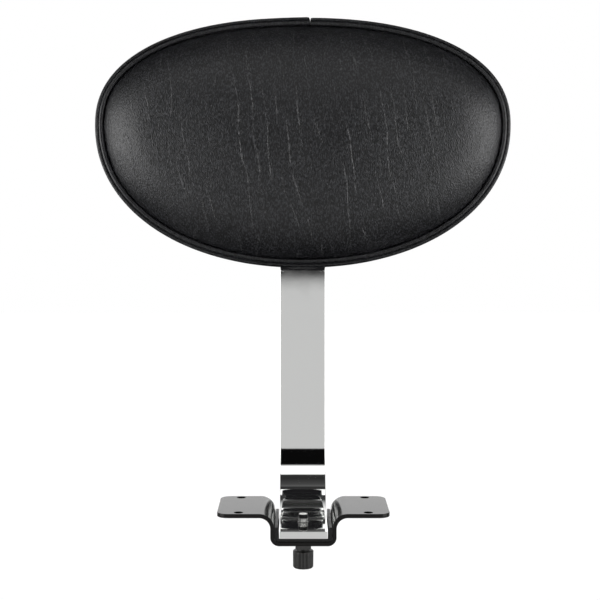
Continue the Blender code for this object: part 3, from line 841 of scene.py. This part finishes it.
def make_pad_bolt(place):
    """Hex bolt, spring washer and flat washer behind the bar."""
    node = "pad_bolt_" + place
    low, high = lean_box(node)
    spot = on_pad(up=pad_place(node)[1])
    back, end = forward_of(high.y), forward_of(low.y)
    seat = back + 4 * MM
    shank = 2.95 * MM
    rings = [circle(3.6 * MM, back, 96)] + hexagon_rings(10 * MM, back, seat, (back,))
    rings += [circle(4.9 * MM, seat, 96), circle(shank, seat, 96)]
    rings += [circle(shank, end - 0.5 * MM, 96), circle(shank - 0.5 * MM, end, 96)]
    cad_piece("hex_bolt_" + place, node, "backrest", "zinc_hardware", skin(rings), spot, sharp=25)
    for name, washer, sprung in (("bolt_washer_", "pad_flat_washer_", False),
            ("bolt_spring_washer_", "pad_lock_washer_", True)):
        make_washer(name + place, washer + place, "backrest", BOLT_HOLE_RADIUS, sprung, spot)


def make_panel_screws():
    """Pan-head wood screws with a cross recess."""
    for number in range(1, PANEL_SCREWS + 1):
        node = f"back_panel_screw_{number}"
        low, high = lean_box(node)
        spot = on_pad(*pad_place(node))
        back, end = forward_of(high.y), forward_of(low.y)
        head = (high.x - low.x) / 2
        shank = 1.3 * MM
        profile = [(head * sin(a), back - back * (1 - cos(a)) * 0.9) for a in spread(0.18, 1.45, 9)]
        profile += [(head, -0.2 * MM), (head - 0.15 * MM, 0.0), (shank, 0.0),
                (shank, end - 2 * MM), (0.4 * MM, end)]
        piece = shaped(f"panel_screw_{number}", *lathe(profile, 40), spot)
        arm, half = 1.7 * MM, 0.42 * MM
        cutters = []
        for turn in (20 * number, 20 * number + 90):
            spin = Matrix.Rotation(radians(turn), 4, "Z")
            rings = [[spin @ Vector((x * reach, y, back + level)) for x, y in
                    ((-arm, -half), (arm, -half), (arm, half), (-arm, half))]
                    for reach, level in ((1.1, -1 * MM), (1.0, 0.1 * MM), (0.35, 1.4 * MM))]
            cutters.append((skin(rings), spot))
        carve(piece, *cutters)
        finish_piece(piece, "backrest", "black_hardware", [node], sharp=30)


# ---- pad

def outline(turn, inset, forward):
    """Point at an angle round the pad's outline, moved in from it and forward of the bar."""
    rising = sin(turn) >= 0
    power = 2 / (RISE_POWER if rising else DROP_POWER)
    reach = (RISE if rising else DROP) - inset
    across = copysign(abs(cos(turn)) ** power, cos(turn))
    along = copysign(abs(sin(turn)) ** power, sin(turn))
    return Vector(((HALF_WIDTH - inset) * across, -forward, reach * along))


def loop(inset, forward, count=160, shrink=1.0):
    ring = [outline(turn, inset, forward) for turn in around(count)]
    return [Vector((p.x * shrink, p.y, p.z * shrink)) for p in ring]


ROLL_POWER = 1.3  # above 1, the rolled edge leaves the seam at a slant


def cushion_shell(inset=COVER_INSET, roll_width=40 * MM, crown=7 * MM, sunk=0.0, tail=0.0):
    """Rings of the pad's front, from its seam (or the tail behind it) over the rolled edge."""
    middle = COVER_INSET + roll_width
    roll_width = middle - inset
    shoulder = CROWN - crown - COVER_BACK - sunk
    behind = COVER_BACK - tail
    rings = [loop(inset + 12 * MM, behind)] + [loop(inset, behind)] * (tail > 0)
    for turn in spread(0, pi / 2, 13):
        across, rise = cos(turn) ** ROLL_POWER, sin(turn) ** ROLL_POWER
        rings.append(loop(middle - roll_width * across, COVER_BACK + shoulder * rise))
    for shrink in (0.85, 0.7, 0.5, 0.3, 0.12):
        rings.append(loop(middle, COVER_BACK + shoulder + crown * (1 - shrink ** 2), shrink=shrink))
    return skin(rings)


def vectors(mesh, kind="co"):
    """A mesh's points, or its normals, a row each."""
    flat = np.empty(len(mesh.vertices) * 3)
    mesh.vertices.foreach_get(kind, flat)
    return flat.reshape(-1, 3)


def inflate(piece, held, pressure, cap, frames=20):
    """Blow a closed skin up as cloth, its held points fixed, no point moving past the cap."""
    rest = vectors(piece.data)
    pins = piece.vertex_groups.new(name="held")
    pins.add([int(i) for i in np.flatnonzero(held(rest))], 1.0, "REPLACE")
    cloth = piece.modifiers.new("cloth", "CLOTH")
    assign(cloth.settings, quality=6, mass=0.3, tension_stiffness=40, compression_stiffness=40,
           shear_stiffness=5, bending_stiffness=12, use_pressure=True, uniform_pressure_force=pressure,
           vertex_group_mass=pins.name)
    cloth.settings.effector_weights.gravity = 0
    assign(cloth.point_cache, frame_start=1, frame_end=frames)
    for step in range(1, frames + 1):
        bpy.context.scene.frame_set(step)
    bake(piece)
    bpy.context.scene.frame_set(1)
    moved = vectors(piece.data) - rest
    far = np.linalg.norm(moved, axis=1, keepdims=True)
    kept = rest + moved * np.minimum(1.0, cap / np.maximum(far, 1e-9))
    piece.data.vertices.foreach_set("co", kept.ravel())
    piece.vertex_groups.clear()
    print("cloth: moved up to", round(float(far.max()) / MM, 2), "mm")


def smooth_mesh(piece, rounds):
    add_modifier(piece, "SMOOTH", factor=0.5, iterations=rounds)
    bake(piece)


def trim_back(piece, forward):
    """Cut the piece off behind a plane across the pad, and close it there."""
    cut = bmesh.new()
    cut.from_mesh(piece.data)
    geometry = cut.verts[:] + cut.edges[:] + cut.faces[:]
    made = bmesh.ops.bisect_plane(cut, geom=geometry, plane_co=(0, -forward, 0),
            plane_no=(0, 1, 0), clear_outer=True)
    edges = [item for item in made["geom_cut"] if isinstance(item, bmesh.types.BMEdge)]
    bmesh.ops.contextual_create(cut, geom=edges)
    cut.to_mesh(piece.data)
    cut.free()


def make_cushion():
    """Grained vinyl front, blown up over its foam by cloth simulation."""
    cushion = shaped("vinyl_front", *cushion_shell(
        COVER_INSET - 1.8 * MM, sunk=3 * MM, tail=9 * MM))
    add_modifier(cushion, "REMESH", mode="VOXEL", voxel_size=4 * MM)
    bake(cushion)
    smooth_mesh(cushion, 4)
    seam = -(COVER_BACK + 3 * MM)
    inflate(cushion, lambda points: points[:, 1] > seam, 4.0, 8 * MM)
    smooth_mesh(cushion, 12)
    add_modifier(cushion, "SUBSURF", levels=1, render_levels=1)
    bake(cushion)
    trim_back(cushion, COVER_BACK)
    crease_cover(cushion.data)
    cushion.data.transform(PAD)
    finish_piece(cushion, "backrest", "vinyl", ["front_cover"], sharp=180, even=False)


def crease_cover(mesh):
    """Soft upright creases over the face, and small gathers along the seam."""
    depth, width, slant = 0.22 * MM, 0.10, 0.14
    spacing, length, patches = 9 * MM, 60 * MM, 45 * MM
    gather_depth, gather_place, gather_width = 0.10 * MM, 8 * MM, 7 * MM
    points, normals = vectors(mesh), vectors(mesh, "normal")
    for i, (x, y, z) in enumerate(points):
        forward = -y - COVER_BACK
        if forward < 1 * MM:
            continue
        wave = noise.noise(Vector((x / spacing + slant * z / spacing, 3.1, z / length)))
        patch = 0.5 + 0.5 * noise.noise(Vector((x / patches, 7.7, z / patches)))
        reach = hypot(x / HALF_WIDTH, z / (RISE if z > 0 else DROP))
        face = max(0.0, 1.0 - reach ** 6)
        crease = -max(0.0, 1.0 - abs(wave) / width) * patch * face
        turn = atan2(z, x)
        gather = noise.noise(Vector((cos(turn) * 26, sin(turn) * 22, 0.5)))
        near_seam = exp(-((forward - gather_place) / gather_width) ** 2)
        points[i] += normals[i] * (depth * crease + gather_depth * gather * near_seam)
    mesh.vertices.foreach_set("co", points.ravel())
    mesh.update()


def make_foam():
    """The foam block under the cover."""
    block = shaped("foam_block", *cushion_shell(COVER_INSET + 14 * MM, sunk=13 * MM), PAD)
    finish_piece(block, "backrest", "foam", ["foam_cushion"], sharp=180, even=False)


# Section of the piping, in shares of its radius: (outwards, forwards). A rounded outer
# bead, a fine crease, and a flatter inner lip that meets the cover.
WELT_SECTION = [
    (1.00, 0.00), (0.99, 0.28), (0.91, 0.52), (0.76, 0.70), (0.56, 0.78), (0.36, 0.74),
    (0.22, 0.62), (0.14, 0.44), (0.08, 0.44), (0.03, 0.64), (-0.08, 0.86), (-0.28, 1.00),
    (-0.55, 1.05), (-0.84, 1.00), (-1.08, 0.82), (-1.20, 0.52), (-1.18, 0.15), (-1.00, -0.25),
    (-0.75, -0.62), (-0.40, -0.90), (0.00, -1.00), (0.40, -0.90), (0.75, -0.62), (0.95, -0.30)]


def make_welt():
    """Vinyl piping round the seam; its two ends are butted and tucked at the top."""
    half = HALF_WIDTH - WELT_INSET
    start = acos((WELT_JOINT_X / half) ** (RISE_POWER / 2))
    count = 720
    step = half * 2 * pi / count  # about how far apart the rings lie
    gap = radians(0.035)  # half of the joint's opening
    retract, slant, end_reach = 0.85 * MM, 0.50 * MM, 4 * MM  # the ends' faces
    lift, lift_reach = 0.6 * MM, 30 * MM  # the first end stands a little out
    pinch_reach = 0.9 * MM  # both ends narrow over this
    pucker_depth = 0.04 * MM
    rings = []
    for i in range(count + 1):
        turn = start + gap + (2 * pi - 2 * gap) * i / count
        centre = outline(turn, WELT_INSET, WELT_FORWARD)
        ahead = (outline(turn + 1e-4, WELT_INSET, WELT_FORWARD)
                - outline(turn - 1e-4, WELT_INSET, WELT_FORWARD))
        outward = Vector((ahead.z, 0.0, -ahead.x)).normalized()
        from_end = min(i, count - i) * step
        near_end = max(0.0, 1.0 - from_end / end_reach)
        radius = WELT_RADIUS * (0.9 + 0.1 * min(1.0, from_end / pinch_reach))
        lifted = lift * max(0.0, 1.0 - i * step / lift_reach) ** 2
        back_off = -1 if i < count / 2 else 1
        ring = []
        for across, forward in WELT_SECTION:
            pucker = pucker_depth * noise.noise(Vector((turn * 60, across, forward)))
            point = centre + outward * (radius * across + pucker + lifted)
            point.y -= radius * forward
            point.x += near_end * (back_off * retract * max(0.0, across) ** 2 - slant * across)
            ring.append(point)
        rings.append(ring)
    points, faces = skin(rings)
    front, back = COVER_BACK - 0.1 * MM, COVER_BACK - 0.4 * MM
    flange = [(5 * MM, front), (5 * MM, back), (11 * MM, back), (11 * MM, front)]
    more, under = skin([loop(inset, forward, 320) for inset, forward in flange], wrap=True)
    faces += [[i + len(points) for i in face] for face in under]
    piece = shaped("piping", points + more, faces, PAD)
    finish_piece(piece, "backrest", "vinyl", ["welt_piping"], PIPING_VINYL, sharp=60, even=False)


def make_band():
    """Vinyl band round the board's edge, pleated where it turns in over the back."""
    thick, ease = 1.1 * MM, 4.8 * MM
    margin = 22 * MM  # how far it is turned in
    pleats, pleat_depth = 26, 0.5 * MM
    front = WELT_FORWARD - WELT_RADIUS - GAP
    turn_in = BAND_BACK + thick + ease
    outer, inner = [[(BAND_INSET + deeper, forward) for forward in spread(front, turn_in, 5)]
            for deeper in (0.0, thick)]
    for roll in spread(0, pi / 2, 9)[1:]:
        across, deep = 1 - cos(roll), sin(roll)
        outer.append((BAND_INSET + (ease + thick) * across, turn_in - (ease + thick) * deep))
        inner.append((BAND_INSET + thick + ease * across, turn_in - ease * deep))
    rolled = outer[-1][0]
    for share in (0.3, 0.6, 1.0):
        inset = rolled + (margin - rolled) * share
        outer.append((inset, BAND_BACK))
        inner.append((inset, BAND_BACK + thick))
    section = outer + inner[::-1]
    count = 320
    rings = [loop(inset, forward, count) for inset, forward in section]
    for ring, (inset, _) in zip(rings, outer):
        turned_in = min(max((inset - BAND_INSET - 3 * MM) / (10 * MM), 0.0), 1.0)
        for turn, point in zip(around(count), ring):
            uneven = 2 * noise.noise(Vector((turn * 3, 0, 0)))
            pleat = max(0.0, sin(turn * pleats + uneven)) ** 4
            curve = abs(cos(turn)) ** 1.5
            point.y += pleat_depth * pleat * turned_in * (0.3 + 0.7 * curve)
    piece = shaped("edge_band", *skin(rings, wrap=True), PAD)
    finish_piece(piece, "backrest", "vinyl", ["side_band"], PIPING_VINYL, sharp=50)


def make_panel():
    """Thin moulded sheet over the board's back, holed for the bolts and screws."""
    ease = 0.9 * MM
    section = [(PANEL_INSET + ease * (1 - sin(a)), PANEL_BACK + ease * (1 - cos(a)))
            for a in spread(0, pi / 2, 6)]
    section += [(PANEL_INSET, PANEL_FRONT - 0.2 * MM), (PANEL_INSET + 0.2 * MM, PANEL_FRONT)]
    rings = [loop(inset, forward, 240) for inset, forward in section]
    panel = shaped("moulded_back_panel", *skin(rings), PAD)
    cutters = []
    for node, radius in ([("pad_bolt_" + place, BOLT_HOLE_RADIUS) for place in ("upper", "lower")]
            + [(f"back_panel_screw_{i + 1}", 1.6 * MM) for i in range(PANEL_SCREWS)]):
        hole = lathe([(radius, -2 * MM), (radius, 6 * MM)])
        cutters.append((hole, on_pad(*pad_place(node))))
    carve(panel, *cutters)
    finish_piece(panel, "backrest", "back_panel_plastic", ["back_panel"])


def dress_hidden_nodes():
    """Procedural finishes for the CAD nodes that stay: board and tee nuts."""
    for node, slot in (("back_board", "plywood"),
            ("tee_nut_upper", "zinc_hardware"), ("tee_nut_lower", "zinc_hardware")):
        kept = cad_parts[node]
        kept.data.materials.clear()
        kept.data.materials.append(FINISHES[slot])


# ---- studio and camera

def glow(name, tone):
    """Emission material; tone is a colour or a function that builds it from the node tree."""
    made = Finish(name, (0.0, 0.0, 0.0), 1.0)
    made.nodes.remove(made.shader)
    colour = tone(made) if callable(tone) else (*tone, 1.0)
    light = made.node("Emission", Color=colour, Strength=1.0)
    made.links.new(light.outputs["Emission"], made.nodes["Material Output"].inputs["Surface"])
    made.material.cycles.emission_sampling = "NONE"
    return made.material


TENT_RADIUS = 3.0

# Levels round the studio, from straight down (-90 degrees) past the camera's side (0)
# and overhead (90) to the wall behind (180) and down again (270).
STUDIO_LEVELS = [
    (-90, 0.10), (-40, 0.12), (-24, 0.50), (5, 0.30), (12, 0.003), (40, 0.003),
    (44, 1.5), (57, 1.5), (59, 0.03), (66, 0.026), (78, 0.065), (81, 0.12),
    (83, 0.03), (112, 0.04), (125, 0.6), (150, 1.2), (180, 1.5), (200, 1.5), (270, 0.10),
]
LEVEL_SCALE = 4.0  # above every level, which a ramp holds as a share of it
SIDE_LIGHT = 5.2
BACK_DIM = 0.42  # behind the object, away from the middle
CARD_AHEAD = 1.37  # pale card in front, which the upright mirrors
CARD_TOP = 0.37
CARD_LEVELS = [(0.280, 0.580), (0.292, 0.500), (0.302, 0.370), (0.309, 0.168),
        (0.3165, 0.055), (0.330, 0.028), (0.350, 0.006)]


def studio_tone(made):
    """Bands of light and dark by height, and a soft light on each side."""
    x, y, z = made.axes()
    ahead = made.times(y, -1.0)
    wrapped = made.calc("WRAP", made.calc("ARCTAN2", z, ahead), radians(270))
    wrapped.node.inputs[2].default_value = radians(-90)
    share = made.calc("DIVIDE", made.plus(wrapped, radians(90)), 2 * pi)
    bands = made.ramp(share, *[((angle + 90) / 360, level / LEVEL_SCALE)
            for angle, level in STUDIO_LEVELS])
    aside = made.calc("DIVIDE", made.calc("ABSOLUTE", x), TENT_RADIUS)

    def through(value):
        """0 at one side of the tent, 1 at the other."""
        return made.plus(made.calc("DIVIDE", value, 2 * TENT_RADIUS), 0.5)

    side = made.ramp(aside, (0.50, 0.0), (0.66, 1.0), (0.972, 1.0), (0.99, 0.12), (1.0, 0.08))
    height = made.ramp(through(z), (0.36, 0.0), (0.46, 1.0), (0.62, 1.0), (0.76, 0.0))
    front = made.ramp(through(ahead), (0.42, 0.0), (0.52, 1.0))
    middle = made.ramp(aside, (0.20, 1.0), (0.30, BACK_DIM), (0.85, 0.75 * BACK_DIM),
            (1.0, 0.5 * BACK_DIM))
    lit = made.times(bands, made.calc("MAXIMUM", middle, front), LEVEL_SCALE)
    return made.plus(lit, made.times(side, height, front, SIDE_LIGHT))


ARCH_LEVEL = 193.5 * MM  # pale card just under the pad, beside the upright
ARCH_BOX = (62 * MM, 53.5 * MM, 93 * MM)  # its half width, and its near and far y
ARCH_HALF = 26 * MM  # half width of the gap in it, along Y
ARCH_ROUND = (13 * MM, 8 * MM)  # rounding of the gap's near corners, across and along


def arch_card():
    """Two mirrored halves of a level card with a gap along Y between them."""
    wide, near, far = ARCH_BOX
    across, along = ARCH_ROUND
    edge = [(ARCH_HALF - across * (1 - sin(a)), near + along * (1 - cos(a)))
            for a in spread(0, pi / 2, 9)] + [(ARCH_HALF, far)]
    return sheets([[[Vector((side * x, y, ARCH_LEVEL)) for x, y in edge],
            [Vector((side * wide, y, ARCH_LEVEL)) for _, y in edge]] for side in (-1, 1)])


def card_tone(made):
    """A pale card that darkens over its top edge."""
    low, high = CARD_LEVELS[0][0], CARD_LEVELS[-1][0]
    share = made.calc("DIVIDE", made.calc("SUBTRACT", made.axes()[2], low), high - low)
    return made.ramp(share, *[((z - low) / (high - low), level) for z, level in CARD_LEVELS])


def flat_sheet(name, low, high):
    """A level or an upright rectangle between two opposite corners."""
    return shaped(name, *sheets([[[Vector((x, y, z)) for x in (low[0], high[0])]
            for y, z in (low[1:], high[1:])]]))


def make_studio():
    """Pale floor, white surround, and a tent of light that only reflections see."""
    floor_level = CAD_BOX[0].z - 0.25
    floor = flat_sheet("floor", (-6, -6, floor_level), (6, 6, floor_level))
    pale = Finish("pale_floor", (0.88, 0.88, 0.88), 0.8)
    pale.set("Emission Color", (1.0, 1.0, 1.0, 1.0))
    pale.set("Emission Strength", 0.16)
    pale.vary("Base Color", pale.noise(0.4), (0.3, 0.875), (0.7, 0.885))
    floor.data.materials.append(pale.material)
    floor.visible_glossy = False

    tent_mesh = bpy.data.meshes.new("light_tent")
    ball = bmesh.new()
    bmesh.ops.create_icosphere(ball, subdivisions=5, radius=TENT_RADIUS)
    bmesh.ops.reverse_faces(ball, faces=ball.faces)
    ball.to_mesh(tent_mesh)
    ball.free()
    tent_mesh.shade_smooth()
    tent = new_object("light_tent", tent_mesh)
    card = flat_sheet("front_card", (-1.3, -CARD_AHEAD, -0.6), (1.3, -CARD_AHEAD, CARD_TOP))
    arch = shaped("arch_card", *arch_card())
    wide, near, far = ARCH_BOX
    above = ARCH_LEVEL + 0.4 * MM
    flag = flat_sheet("arch_flag", (-wide, near, above), (wide, far, above))
    for item, name, tone in ((tent, "tent_light", studio_tone), (card, "card_light", card_tone),
            (arch, "arch_light", (1.3, 1.3, 1.3)),
            (flag, "arch_dark", (0.012, 0.012, 0.013))):
        item.data.materials.append(glow(name, tone))
        assign(item, visible_camera=False, visible_diffuse=False, visible_shadow=False,
               visible_transmission=False)

    world = bpy.data.worlds.new("white_surround")
    bpy.context.scene.world = world
    world.use_nodes = True
    background = world.node_tree.nodes["Background"]
    background.inputs["Color"].default_value = (1.0, 1.0, 1.0, 1.0)
    background.inputs["Strength"].default_value = 1.0
    bpy.context.scene.view_settings.view_transform = "Standard"


CAMERA_PLACE = (-0.006, -1.065, 0.241)
CAMERA_TIP = 3.8  # degrees below level


def make_camera():
    """Camera in front, a little above the bracket, tipped down."""
    lens = bpy.data.cameras.new("camera")
    lens.lens = 78
    lens.shift_x = 0.0067
    camera = new_object("camera", lens)
    camera.location = CAMERA_PLACE
    camera.rotation_euler = (radians(90 - CAMERA_TIP), 0.0, 0.0)
    bpy.context.scene.camera = camera


make_camera()
make_studio()
make_bar()
make_bracket()
make_liner()
make_clamp()
for place in ("upper", "lower"):
    make_pad_bolt(place)
make_panel_screws()
make_cushion()
make_foam()
make_welt()
make_band()
make_panel()
dress_hidden_nodes()
